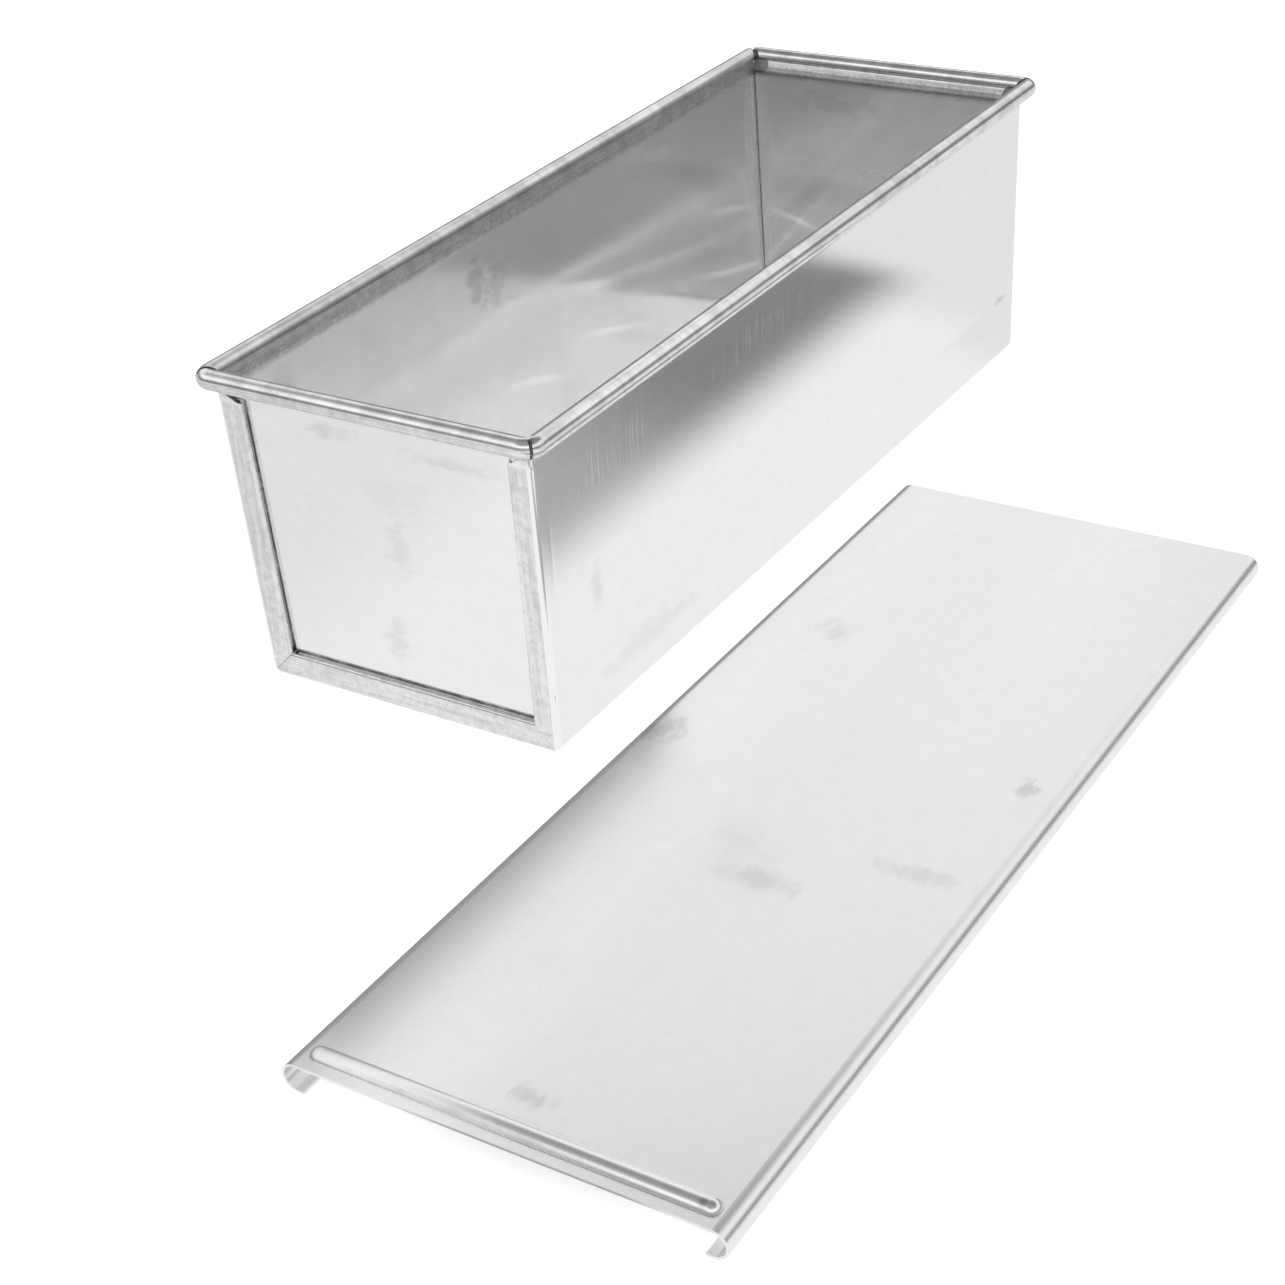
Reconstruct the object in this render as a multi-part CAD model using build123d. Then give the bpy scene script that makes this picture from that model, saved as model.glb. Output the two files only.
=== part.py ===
"""Pullman loaf pan: a folded sheet pan with a wired rim, and its sliding lid lying on the table beside it.

X is the width, Y the length and Z is up. The origin is the centre of the pan's base, on the table.
The front is the end at -Y. All lengths are in millimetres.
"""
import math
import os

from build123d import *

# Driving dimensions of the pan
opening_width = 100.0
opening_length = 284.4
pan_height = 95.0
side_taper = 2.0
end_taper = 2.0
sheet = 0.7
wire_diameter = 4.2
bend_radius = 1.5

# The folded seam round each end
seam_width = 7.5
fold_gap = 0.05
hook_relief = 0.2
corner_slit = 0.3
edge_radius = 1.2
strip_chamfer_width = 5.0
strip_chamfer_height = 2.7

# The wired rim
wire_gap = 0.03
wire_bend_relief = 0.07
wire_butt_gap = 0.6
curl_sweep = 310.0
rim_corner_radius = 0.4
mitre_inner_gap = 1.3
mitre_outer_gap = 0.3
flange_height = 0.7
lean_height = 3.0
lean_radius = 1.2
notch_width = 6.5
notch_height = 4.4

# The lid
lid_side_gap = 0.35
lid_lip_width = 5.6
lid_overlength = 1.0
rib_width = 5.0
rib_height = 1.8
rib_end_inset = 7.0
rib_setback = 3.0

# Where the lid lies beside the pan
lid_rest_gap = 12.0
lid_rest_forward = 130.0

# How far a cutting block runs past what it cuts
overrun = 20.0

# The curl of sheet round the rim wire
wire_radius = wire_diameter / 2
curl_inside = wire_radius + wire_gap
curl_radius = curl_inside + sheet
curl_width = 2 * curl_radius
wire_bend = curl_radius + rim_corner_radius
rim_z = pan_height - curl_radius

# Layers of the end seam, counted outwards from the panel's inside face
layer = sheet + fold_gap
hook_in = layer
hook_out = hook_in + sheet
hem_in = hook_out + fold_gap
hem_out = hem_in + sheet
strip_in = hem_out + fold_gap
strip_out = strip_in + sheet
nose_radius = (strip_out - hook_in) / 2
hem_radius = hem_out / 2
hem_edge = layer + hem_radius
hem_end = seam_width - nose_radius - hook_relief
hook_start = hem_edge + hook_relief

# Heights of the step that carries the end panels out to the rim
lean_step = strip_out - sheet
lean_angle = math.atan2(lean_step, lean_height)
lean_top = rim_z - flange_height
lean_bottom = lean_top - lean_height
strip_top = lean_bottom - (sheet + lean_radius) * math.tan(lean_angle / 2) - fold_gap

side_slope = side_taper / pan_height
end_slope = end_taper / pan_height


def wall_x(z):
    """Half the width between the side walls at a height."""
    return opening_width / 2 - side_slope * (pan_height - z)


def panel_s(z):
    """Half the length between the end panels at a height."""
    return opening_length / 2 - end_slope * (pan_height - z)


# The rim's inside corner, and the line of the wire
corner_x = wall_x(rim_z)
corner_s = panel_s(rim_z) + lean_step
wire_x = corner_x + curl_radius
wire_s = corner_s + curl_radius
rim_half_width = corner_x + curl_width
rim_half_length = corner_s + curl_width
bend_x = wire_x - wire_bend
bend_s = wire_s - wire_bend
reach = rim_half_length + overrun


def section(offset, top):
    """Face of the space between the walls and floor in XZ, grown outwards by the offset."""
    floor = sheet - offset
    low = wall_x(floor) + offset
    high = wall_x(top) + offset
    face = make_face(Polyline((-low, floor), (low, floor), (high, top), (-high, top), close=True))
    corner = bend_radius + offset
    if corner > hook_relief:
        face = fillet(face.vertices().sort_by(Axis.Y)[:2], corner)
    return face


def along_y(face, length):
    """Solid of an XZ face carried along Y, the same each way from the middle."""
    return extrude(Plane.XZ * face, amount=length, both=True)


def along_x(face, length):
    """Solid of a YZ face carried along X, the same each way from the middle."""
    return extrude(Plane.YZ * face, amount=length, both=True)


def end_block(offset, bottom, top):
    """Block that stops at the two sloping end planes, moved outwards by the offset."""
    low = panel_s(bottom) + offset
    high = panel_s(top) + offset
    face = make_face(Polyline((-low, bottom), (low, bottom), (high, top), (-high, top), close=True))
    return along_x(face, reach)


def slab(bottom, top):
    """Wide flat block between two heights."""
    block = Box(2 * reach, 2 * reach, top - bottom, align=(Align.CENTER, Align.CENTER, Align.MIN))
    return Pos(0, 0, bottom) * block


def mitre(out):
    """How far the rim goes past its corner, measured along one edge, at a distance out from the other."""
    return out - mitre_inner_gap - (mitre_outer_gap - mitre_inner_gap) * out / curl_width


def side_zone():
    """Plan area that the side curls may fill, up to the mitres at the rim's corners."""
    inner = (corner_x - curl_radius, -corner_s - mitre(-curl_radius))
    outer = (corner_x + curl_width, -corner_s - mitre(curl_width))
    far = (reach, outer[1])
    right = make_face(Polyline((0, 0), (0, inner[1]), inner, outer, far, (reach, 0), close=True))
    right = right + mirror(right, about=Plane.XZ)
    return right + mirror(right, about=Plane.YZ)


def end_zone():
    """Plan area that the front curl may fill, up to the mitres at the rim's corners."""
    inner = (corner_x + mitre(-curl_radius), curl_radius - corner_s)
    outer = (corner_x + mitre(curl_width), -corner_s - curl_width)
    right = make_face(Polyline((0, inner[1]), inner, outer, (outer[0], -reach), (0, -reach), close=True))
    return right + mirror(right, about=Plane.YZ)


def curl(centre_u, start_angle, sweep):
    """Ring of sheet round the wire, in a plane across the rim."""
    outer = CenterArc((centre_u, rim_z), curl_radius, start_angle, sweep)
    inner = CenterArc((centre_u, rim_z), curl_inside, start_angle, sweep)
    return make_face([outer, inner, Line(outer @ 0, inner @ 0), Line(outer @ 1, inner @ 1)])


def rim_curl():
    """Sheet rolled round the whole rim wire, with its four round corners."""
    profile = curl(wire_x, 180, -curl_sweep)
    side = along_y(profile, bend_s)
    end = along_x(curl(-wire_s, 0, curl_sweep), bend_x)
    start = Pos(0, -bend_s, 0) * (Plane.XZ * profile)
    corner = revolve(start, axis=Axis((bend_x, -bend_s, 0), (0, 0, -1)), revolution_arc=90)
    front = end + corner + mirror(corner, about=Plane.YZ)
    return front + mirror(front, about=Plane.XZ) + side + mirror(side, about=Plane.YZ)


def hook_outline(place):
    """Outline of the trough's folded edge, whose outer layer is the strip that shows."""
    middle = (hook_in + strip_out) / 2
    bend = seam_width - nose_radius
    half = sheet / 2
    return [
        Line(place(half, strip_out), place(bend, strip_out)),
        ThreePointArc(place(bend, strip_out), place(seam_width, middle), place(bend, hook_in)),
        Line(place(bend, hook_in), place(hook_start, hook_in)),
        Line(place(hook_start, hook_in), place(hook_start, hook_out)),
        Line(place(hook_start, hook_out), place(bend, hook_out)),
        ThreePointArc(place(bend, hook_out), place(seam_width - sheet, middle), place(bend, strip_in)),
        Line(place(bend, strip_in), place(half, strip_in)),
        Line(place(half, strip_in), place(half, strip_out)),
    ]


def hem_outline(place):
    """Outline of the end panel's folded edge, which lies inside the trough's hook."""
    middle = hem_out / 2
    inner = hem_edge + hem_radius
    return [
        Line(place(inner, 0), place(hem_edge, 0)),
        ThreePointArc(place(hem_edge, 0), place(layer, middle), place(hem_edge, hem_out)),
        Line(place(hem_edge, hem_out), place(hem_end, hem_out)),
        Line(place(hem_end, hem_out), place(hem_end, hem_in)),
        Line(place(hem_end, hem_in), place(hem_edge, hem_in)),
        ThreePointArc(place(hem_edge, hem_in), place(layer + sheet, middle), place(hem_edge, sheet)),
        Line(place(hem_edge, sheet), place(inner, sheet)),
        Line(place(inner, sheet), place(inner, 0)),
    ]


def seam_bars(outline):
    """Left, right and bottom bars of a front seam with one outline, mitred at the two bottom corners."""
    face = make_face(outline(lambda u, e: (wall_x(0) + sheet - u, -panel_s(0) - e)))
    lean = Vector(side_slope, -end_slope, 1) * strip_top
    right = Solid.extrude(face.faces()[0], lean)
    bottom_face = make_face(outline(lambda u, e: (-panel_s(u) - e, u)))
    bottom = along_x(bottom_face, reach)
    apron = 2 * seam_width
    foot = wall_x(0) + sheet
    bars = []
    for half_gap in (-corner_slit / 2, corner_slit / 2):
        low = foot + half_gap
        zone = Polyline((-low, 0), (low, 0), (low - apron, apron), (apron - low, apron), close=True)
        bars.append(along_y(make_face(zone), reach))
    narrow, wide = bars
    sides = (right + mirror(right, about=Plane.YZ)) - wide - strip_chamfers()
    return sides + (bottom & narrow)


def strip_chamfers():
    """Blocks that slope off the inner corners of the two upright seams, just under the rim."""
    inner = wall_x(strip_top) + sheet - seam_width
    foot = strip_top - strip_chamfer_height
    low = (inner, foot)
    high = (inner + strip_chamfer_width, strip_top)
    outline = Polyline((0, foot), low, high, (high[0], pan_height), (0, pan_height), close=True)
    right = along_y(make_face(outline), reach)
    return right + mirror(right, about=Plane.YZ)


def corner_notches():
    """Round-ended cuts through the end panels beside their top corners, just under the rim."""
    middle = (strip_top + rim_z) / 2
    centre = wall_x(middle) - notch_width / 2 + notch_height / 4
    slot = Pos(centre, middle) * SlotOverall(notch_width, notch_height)
    right = along_y(slot, reach)
    return right + mirror(right, about=Plane.YZ)


def rim_wire():
    """Wire that stiffens the rim, bent to a rectangle. Its ends butt in the middle of the left side."""
    start = wire_butt_gap / 2
    corners = [(-wire_x, wire_s), (wire_x, wire_s), (wire_x, -wire_s), (-wire_x, -wire_s)]
    path = FilletPolyline((-wire_x, start), *corners, (-wire_x, -start), radius=wire_bend)
    path = Pos(0, 0, rim_z) * path
    ring = Plane(path @ 0, z_dir=path % 0) * Circle(wire_radius)
    return sweep(ring, path=path)


def wire_bends():
    """Room for the wire's four bends, cut from the flanges under the curls."""
    ring = Torus(wire_bend, curl_inside + wire_bend_relief)
    size = wire_bend + curl_radius
    quarter = Box(size, size, curl_width, align=(Align.MIN, Align.MAX, Align.CENTER))
    bend = Pos(bend_x, -bend_s, rim_z) * (ring & quarter)
    pair = bend + mirror(bend, about=Plane.YZ)
    return pair + mirror(pair, about=Plane.XZ)


def trough():
    """The one sheet that makes both sides, the base, the long curls and the seam strips."""
    walls = along_y(section(sheet, rim_z) - section(0, rim_z), reach)
    body = along_y(section(sheet, strip_top), reach) & end_block(strip_out, -overrun, pan_height)
    low_edges = [e for e in body.edges() if e.center().Z < strip_top - sheet]
    body = fillet([e for e in low_edges if abs(e.center().Y) > panel_s(0)], edge_radius)
    above = extrude(Pos(0, 0, strip_top) * side_zone(), amount=pan_height)
    flanges = (walls & above) - wire_bends()
    front = seam_bars(hook_outline) & body
    return (walls & body) + flanges + (rim_curl() & above) + front + mirror(front, about=Plane.XZ)


def end_profile():
    """Front panel's profile in YZ, from its bottom hem up its step to the middle of the curl."""
    drop = sheet * math.tan(lean_angle / 2)
    base = hem_edge
    inside = [
        (panel_s(base), base), (panel_s(lean_bottom), lean_bottom),
        (corner_s, lean_top), (corner_s, rim_z),
    ]
    outside = [
        (corner_s + sheet, rim_z), (corner_s + sheet, lean_top - drop),
        (panel_s(lean_bottom) + sheet, lean_bottom - drop), (panel_s(base) + sheet, base),
    ]
    points = [(-s, z) for s, z in inside + outside]
    face = make_face(Polyline(*points, close=True))
    for (s, z), radius in (
        (inside[1], lean_radius + sheet), (inside[2], lean_radius),
        (outside[1], lean_radius + sheet), (outside[2], lean_radius),
    ):
        bend = face.vertices().sort_by_distance((-s, z))[0]
        face = fillet(bend, radius)
    return face


def front_end_plate():
    """End panel with its hem, the step under the rim and its curl."""
    panel = along_x(end_profile(), reach)
    lower = along_y(section(-hem_edge + sheet, strip_top), reach)
    upper = along_y(section(-fold_gap, pan_height), reach) & slab(strip_top, pan_height)
    panel = panel & (lower + upper)
    hem = seam_bars(hem_outline) & along_y(section(-fold_gap, strip_top), reach)
    zone = extrude(end_zone(), amount=pan_height)
    outer_s = corner_s + sheet
    corners = ((-corner_s, lean_top), (-corner_s, rim_z), (-outer_s, rim_z), (-outer_s, lean_top))
    flange = along_x(make_face(Polyline(*corners, close=True)), reach) & zone
    return (panel + flange - wire_bends() - corner_notches()) + hem + (rim_curl() & zone)


def lid():
    """Flat lid with a rolled channel down each side and a raised rib across its front end."""
    inner = curl_radius + lid_side_gap
    outer = inner + sheet
    half_width = rim_half_width + lid_side_gap + sheet
    length = 2 * rim_half_length + lid_overlength
    top = 2 * outer
    turn = half_width - outer
    lip = half_width - lid_lip_width
    edges = [
        Line((0, top), (turn, top)),
        ThreePointArc((turn, top), (half_width, outer), (turn, 0)),
        Line((turn, 0), (lip, 0)),
        Line((lip, 0), (lip, sheet)),
        Line((lip, sheet), (turn, sheet)),
        ThreePointArc((turn, sheet), (half_width - sheet, outer), (turn, top - sheet)),
        Line((turn, top - sheet), (0, top - sheet)),
        Line((0, top - sheet), (0, top)),
    ]
    half = make_face(edges)
    body = along_y(half + mirror(half, about=Plane.YZ), length / 2)
    rib_radius = (rib_width ** 2 / 4 + rib_height ** 2) / (2 * rib_height)
    rib_y = rib_setback + rib_width / 2 - length / 2
    rib_z = top + rib_height - rib_radius
    rib_half = half_width - rib_end_inset
    rib = capsule(rib_half, rib_radius, rib_y, rib_z) & slab(top - sheet, pan_height)
    return body + rib - capsule(rib_half, rib_radius - sheet, rib_y, rib_z)


def capsule(half_length, radius, y, z):
    """Bar along X with round ends."""
    tip = half_length + radius
    bulge = radius * math.sqrt(0.5)
    edges = [
        Line((-tip, 0), (tip, 0)),
        ThreePointArc((tip, 0), (half_length + bulge, bulge), (half_length, radius)),
        Line((half_length, radius), (-half_length, radius)),
        ThreePointArc((-half_length, radius), (-half_length - bulge, bulge), (-tip, 0)),
    ]
    return Pos(0, y, z) * revolve(make_face(edges), axis=Axis.X)


def build():
    """All the pieces by name, where they lie at rest."""
    plate = front_end_plate()
    lid_x = rim_half_width + lid_rest_gap + rim_half_width + lid_side_gap + sheet
    return {
        "trough": trough(),
        "front_end_plate": plate,
        "rear_end_plate": mirror(plate, about=Plane.XZ),
        "rim_wire": rim_wire(),
        "lid": Pos(lid_x, -lid_rest_forward, 0) * lid(),
    }


os.makedirs("parts", exist_ok=True)
for name, piece in build().items():
    solids = piece.solids()
    export_step(solids[0] if len(solids) == 1 else Compound(children=solids), f"parts/{name}.step")
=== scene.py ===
"""Looks of a pullman loaf pan of folded sheet metal and its lid, lying in a white photo studio.

Lengths are in metres, in the frame of the CAD model: X across the pan, Y along it and Z up.
"""

import logging
import math
from dataclasses import dataclass, field
from enum import Enum
from typing import Callable, Sequence

import bpy
from mathutils import Matrix, Vector


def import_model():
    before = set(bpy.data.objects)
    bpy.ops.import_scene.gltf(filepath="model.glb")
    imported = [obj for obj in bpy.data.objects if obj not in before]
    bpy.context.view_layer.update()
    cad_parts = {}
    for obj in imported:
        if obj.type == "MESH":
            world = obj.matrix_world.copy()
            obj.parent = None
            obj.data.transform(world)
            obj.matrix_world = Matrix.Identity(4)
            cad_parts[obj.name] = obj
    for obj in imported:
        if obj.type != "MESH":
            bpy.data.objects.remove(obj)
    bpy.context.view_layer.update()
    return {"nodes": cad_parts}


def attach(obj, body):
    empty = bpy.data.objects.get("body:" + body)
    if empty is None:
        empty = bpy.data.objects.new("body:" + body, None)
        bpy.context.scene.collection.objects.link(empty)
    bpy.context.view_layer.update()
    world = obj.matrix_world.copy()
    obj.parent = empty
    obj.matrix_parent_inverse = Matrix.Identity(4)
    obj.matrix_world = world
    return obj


LOG = logging.getLogger("pan")
Triple = tuple[float, float, float]
Step = tuple[float, float, float, float]
Socket = bpy.types.NodeSocket
Looks = tuple[Socket, Socket, Socket]
Tree = bpy.types.NodeTree
Nodes = dict[str, bpy.types.Object]

MM = 0.001
EULER = 2.718
# Where most of a noise's values lie
SPAN = (0.3, 0.7)
# A step that falls from one to nothing
FALL = (1.0, 0.0)
NOWHERE = (0.0, 0.0, 0.0)
# Greys of metal that is rubbed clean, also used for the painted highlight along the strips' outer bends, of the
# darker inner side of the rim and of the painted shade along the end panels' seams
CLEAN_AND_EDGE_HIGHLIGHT = (0.97, 0.97, 0.97)
RIM_INSIDE_GREY = (0.4, 0.4, 0.4)
SEAM_SHADE_GREY = (0.12, 0.12, 0.12)


class Board:
    """Places shader nodes in one tree and links them by short calls."""

    def __init__(self, tree: Tree) -> None:
        """Takes over a tree.

        Args:
            tree: The node tree that the nodes go into.
        """
        self.tree = tree
        self.count = 0

    def add(self, kind: str, **settings: object) -> bpy.types.Node:
        """Adds a node.

        Args:
            kind: The node's Blender type.
            **settings: Values for the node's own properties.

        Returns:
            The new node.
        """
        node = self.tree.nodes.new(kind)
        node.location = (200 * (self.count // 6), -260 * (self.count % 6))
        self.count += 1
        for name, value in settings.items():
            setattr(node, name, value)
        return node

    def feed(self, socket: Socket, value: object) -> None:
        """Links a socket to another, or sets its value.

        Args:
            socket: The input socket.
            value: An output socket, a number, a colour or a vector.
        """
        if isinstance(value, bpy.types.NodeSocket):
            self.tree.links.new(value, socket)
        elif socket.type == "RGBA":
            socket.default_value = (*value[:3], 1.0)
        else:
            socket.default_value = value

    def math(self, operation: str, first: object, second: object = 0.5, clamp: bool = False) -> Socket:
        """Does a sum on two values.

        Args:
            operation: The kind of sum.
            first: The first value or socket.
            second: The second value or socket.
            clamp: Whether the result stays between 0 and 1.

        Returns:
            The result's socket.
        """
        node = self.add("ShaderNodeMath", operation=operation, use_clamp=clamp)
        self.feed(node.inputs[0], first)
        self.feed(node.inputs[1], second)
        return node.outputs[0]

    def vector(self, operation: str, first: object, second: object) -> Socket:
        """Does a sum on two vectors.

        Args:
            operation: The kind of sum.
            first: The first vector or socket.
            second: The second vector or socket.

        Returns:
            The result's socket.
        """
        node = self.add("ShaderNodeVectorMath", operation=operation)
        self.feed(node.inputs[0], first)
        self.feed(node.inputs[1], second)
        return node.outputs["Value"] if operation in ("LENGTH", "DOT_PRODUCT") else node.outputs[0]

    def step(
            self, value: object, low: object, high: object, out_low: float = 0.0,
            out_high: float = 1.0) -> Socket:
        """Turns a value into a soft step.

        Args:
            value: The value or socket.
            low: Where the step starts, as a value or socket.
            high: Where it ends, as a value or socket.
            out_low: The result below the start.
            out_high: The result past the end.

        Returns:
            The result's socket.
        """
        node = self.add("ShaderNodeMapRange", interpolation_type="SMOOTHSTEP")
        for place, each in enumerate((value, low, high, out_low, out_high)):
            self.feed(node.inputs[place], each)
        return node.outputs[0]

    def blend(self, factor: object, first: object, second: object, mode: str = "MIX") -> Socket:
        """Mixes two colours.

        Args:
            factor: How much of the second colour, as a value or socket.
            first: The first colour or socket.
            second: The second colour or socket.
            mode: The blend mode.

        Returns:
            The result's socket.
        """
        node = self.add("ShaderNodeMix", data_type="RGBA", blend_type=mode, clamp_factor=True)
        self.feed(node.inputs["Factor"], factor)
        self.feed(node.inputs[6], first)
        self.feed(node.inputs[7], second)
        return node.outputs[2]

    def grey(self, value: Socket) -> Socket:
        """Makes a grey of a value.

        Args:
            value: The value's socket.

        Returns:
            The grey's socket.
        """
        node = self.add("ShaderNodeCombineColor")
        for channel in range(3):
            self.feed(node.inputs[channel], value)
        return node.outputs[0]

    def shade(self, colour: object, value: Socket) -> Socket:
        """Multiplies a colour by a value.

        Args:
            colour: The colour or its socket.
            value: The value's socket.

        Returns:
            The result's socket.
        """
        return self.blend(1.0, colour, self.grey(value), "MULTIPLY")

    def times(self, first: object, *others: object) -> Socket:
        """Multiplies values.

        Args:
            first: The first value or socket.
            *others: The rest of them.

        Returns:
            The product's socket.
        """
        for each in others:
            first = self.math("MULTIPLY", first, each)
        return first

    def noise(
            self, place: object, scale: object, detail: float = 2.0, rough: float = 0.5,
            warp: float = 0.0) -> Socket:
        """Makes a smooth noise.

        Args:
            place: The socket of the place to sample at.
            scale: Features per metre, as a value or socket.
            detail: Number of finer layers.
            rough: Strength of the finer layers.
            warp: How much the noise is distorted.

        Returns:
            The noise value's socket.
        """
        node = self.add("ShaderNodeTexNoise")
        self.feed(node.inputs["Vector"], place)
        self.feed(node.inputs["Scale"], scale)
        self.feed(node.inputs["Detail"], detail)
        self.feed(node.inputs["Roughness"], rough)
        self.feed(node.inputs["Distortion"], warp)
        return node.outputs["Fac"]

    def parts(self, place: Socket) -> tuple[Socket, Socket, Socket]:
        """Splits a vector.

        Args:
            place: The vector's socket.

        Returns:
            The sockets of its X, Y and Z.
        """
        node = self.add("ShaderNodeSeparateXYZ")
        self.feed(node.inputs[0], place)
        return node.outputs[0], node.outputs[1], node.outputs[2]

    def group(self, tree: Tree, **inputs: object) -> bpy.types.Node:
        """Places a node group.

        Args:
            tree: The group's tree.
            **inputs: Values or sockets by input name.

        Returns:
            The group's node.
        """
        node = self.add("ShaderNodeGroup", node_tree=tree)
        for name, value in inputs.items():
            self.feed(node.inputs[name.replace("_", " ")], value)
        return node


def blank(name: str) -> tuple[bpy.types.Material, Board]:
    """Starts a material with no nodes.

    Args:
        name: The material's name.

    Returns:
        The material and the board of its tree.
    """
    material = bpy.data.materials.new(name)
    material.use_nodes = True
    material.node_tree.nodes.clear()
    return material, Board(material.node_tree)


class SheetEffects:
    """Node groups of the marks that rolled and handled sheet metal shows."""

    def __init__(self) -> None:
        """Builds every group once."""
        self.grain = self._grain()
        self.scratches = self._scratches()
        self.smudges = self._smudges()
        self.buckle = self._buckle()
        self.spot = self._spot()
        self.flat = self._flat()
        self.crease = self._crease()

    @staticmethod
    def _start(
            name: str, inputs: dict[str, object],
            outputs: Sequence[str]) -> tuple[Board, bpy.types.Node, bpy.types.Node]:
        """Starts a group.

        Args:
            name: The group's name.
            inputs: Its inputs and their defaults, a number for a value and three for a vector.
            outputs: The names of its outputs, those in capitals being vectors.

        Returns:
            The board, the group input node and the group output node.
        """
        tree = bpy.data.node_groups.new(name, "ShaderNodeTree")
        for each, value in inputs.items():
            kind = "NodeSocketVector" if isinstance(value, tuple) else "NodeSocketFloat"
            socket = tree.interface.new_socket(each, in_out="INPUT", socket_type=kind)
            socket.default_value = value
        for each in outputs:
            kind = "NodeSocketVector" if each.isupper() else "NodeSocketFloat"
            tree.interface.new_socket(each, in_out="OUTPUT", socket_type=kind)
        board = Board(tree)
        return board, board.add("NodeGroupInput"), board.add("NodeGroupOutput")

    def _flat(self) -> Tree:
        """Lays a sheet's surface out flat, along and across its rolling direction.

        Returns:
            The group's tree.
        """
        board, start, end = self._start(
            "lay_flat", {"Vector": NOWHERE, "Along": (0.0, 1.0, 0.0), "Across": (1.0, 0.0, 1.0)}, ["PLACE"])
        along = board.vector("DOT_PRODUCT", start.outputs["Vector"], start.outputs["Along"])
        across = board.vector("DOT_PRODUCT", start.outputs["Vector"], start.outputs["Across"])
        join = board.add("ShaderNodeCombineXYZ")
        board.feed(join.inputs[0], along)
        board.feed(join.inputs[1], across)
        board.feed(end.inputs["PLACE"], join.outputs[0])
        return board.tree

    def _grain(self) -> Tree:
        """Makes fine rolling marks along the flat place's first direction.

        Returns:
            The group's tree.
        """
        board, start, end = self._start(
            "rolling_grain", {"Vector": NOWHERE, "Scale": 900.0, "Stretch": 0.06}, ["Value"])
        long_way = board.add("ShaderNodeCombineXYZ")
        board.feed(long_way.inputs[0], start.outputs["Stretch"])
        board.feed(long_way.inputs[1], 1.0)
        board.feed(long_way.inputs[2], 1.0)
        place = board.vector("MULTIPLY", start.outputs["Vector"], long_way.outputs[0])
        fine = board.noise(place, start.outputs["Scale"], 1.0, 0.6)
        broad = board.noise(place, board.times(start.outputs["Scale"], 0.13), 1.0, 0.5)
        both = board.math("ADD", board.times(fine, 0.6), board.times(broad, 0.4))
        board.feed(end.inputs["Value"], both)
        return board.tree

    def _scratches(self) -> Tree:
        """Makes hair-thin lines in two directions on a flat place, each fading in and out.

        Returns:
            The group's tree.
        """
        board, start, end = self._start(
            "scratches", {"Vector": NOWHERE, "Scale": 60.0, "Width": 0.01, "Share": 0.4}, ["Mask"])
        total = None
        for turn, stretch in ((0.35, 0.05), (1.75, 0.06)):
            spin = board.add("ShaderNodeVectorRotate", rotation_type="Z_AXIS")
            board.feed(spin.inputs["Vector"], start.outputs["Vector"])
            board.feed(spin.inputs["Angle"], turn)
            place = board.vector("MULTIPLY", spin.outputs[0], (1.0, stretch, 1.0))
            place = board.vector("ADD", place, (turn, turn * 3.0, 0.0))
            cells = board.add("ShaderNodeTexVoronoi", feature="DISTANCE_TO_EDGE", voronoi_dimensions="2D")
            board.feed(cells.inputs["Vector"], place)
            board.feed(cells.inputs["Scale"], start.outputs["Scale"])
            line = self._fall(board, cells.outputs["Distance"], start.outputs["Width"])
            where = board.noise(place, board.times(start.outputs["Scale"], 0.9), 1.0, 0.7)
            low = board.math("SUBTRACT", 1.0, start.outputs["Share"])
            shown = board.math("MULTIPLY", board.math("SUBTRACT", where, low), 9.0, clamp=True)
            line = board.times(line, shown)
            total = line if total is None else board.math("MAXIMUM", total, line)
        board.feed(end.inputs["Mask"], total)
        return board.tree

    @staticmethod
    def _fall(board: Board, value: Socket, width: Socket) -> Socket:
        """Makes a value that falls from one to nothing over a width.

        Args:
            board: The board to place the nodes on.
            value: The distance's socket.
            width: The width's socket.

        Returns:
            The result's socket.
        """
        return board.math("SUBTRACT", 1.0, board.math("DIVIDE", value, width), clamp=True)

    def _smudges(self) -> Tree:
        """Makes soft rubbed patches with a finer mottle in them.

        Returns:
            The group's tree.
        """
        board, start, end = self._start(
            "smudges", {"Vector": NOWHERE, "Scale": 14.0, "Low": 0.5, "High": 0.75}, ["Mask", "Mottle"])
        place = start.outputs["Vector"]
        patches = board.noise(place, start.outputs["Scale"], 3.0, 0.55, 0.4)
        mottle = board.noise(place, board.times(start.outputs["Scale"], 13.0), 3.0, 0.6, 0.3)
        board.feed(end.inputs["Mask"], board.step(patches, start.outputs["Low"], start.outputs["High"]))
        board.feed(end.inputs["Mottle"], mottle)
        return board.tree

    def _buckle(self) -> Tree:
        """Makes slow waves of thin sheet that was folded by hand, longer along the sheet than across it.

        Returns:
            The group's tree.
        """
        board, start, end = self._start("sheet_buckle", {"Vector": NOWHERE, "Scale": 12.0}, ["Height"])
        place = board.vector("MULTIPLY", start.outputs["Vector"], (0.55, 1.0, 1.0))
        slow = board.noise(place, start.outputs["Scale"], 0.0, 0.4, 0.3)
        board.feed(end.inputs["Height"], slow)
        return board.tree

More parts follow.
